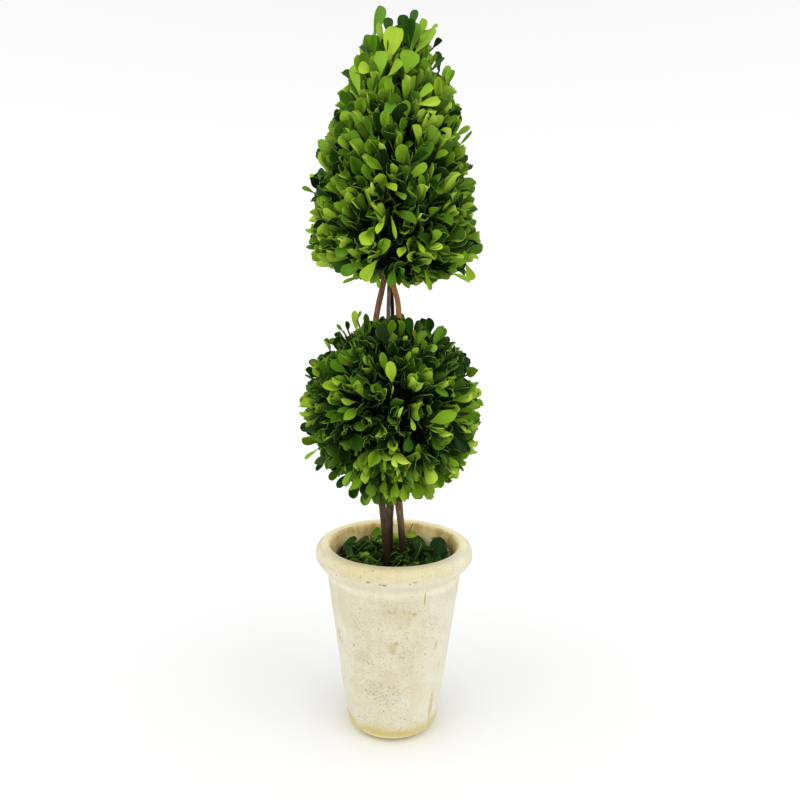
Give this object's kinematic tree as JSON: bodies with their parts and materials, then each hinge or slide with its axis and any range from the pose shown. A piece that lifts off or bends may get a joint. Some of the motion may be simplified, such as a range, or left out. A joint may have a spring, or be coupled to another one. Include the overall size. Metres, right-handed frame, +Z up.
{
  "type": "potted preserved boxwood topiary",
  "caption": "Small preserved boxwood topiary: a clipped cone above a clipped ball on slim twisted vine stems, standing in a tapered clay pot with a rolled rim.",
  "frame": {"origin": "centre of the pot's flat foot, on the surface it stands on", "axes": "+Z up along the pot's axis to the tip of the cone, -Y towards the front, +X to the right"},
  "size_m": [0.1465, 0.1507, 0.6099],
  "materials": {
    "clay": "matte cream clay with throwing lines and grey mottling",
    "plaster": "dark matte",
    "dark_bark": "matte, finely ridged",
    "red_bark": "satin, finely ridged",
    "grey_bark": "matte",
    "ball_leaves": "satin preserved leaf",
    "cone_leaves": "satin preserved leaf",
    "loose_leaves": "satin preserved leaf"
  },
  "bodies": {
    "root": {"pot": "clay", "filling": "plaster", "pot_leaves": "loose_leaves", "stem_front_left": "dark_bark", "stem_right": "red_bark", "stem_middle": "grey_bark", "stem_back": "dark_bark", "ball_foliage": "ball_leaves", "cone_foliage": "cone_leaves"}
  },
  "joints": []
}
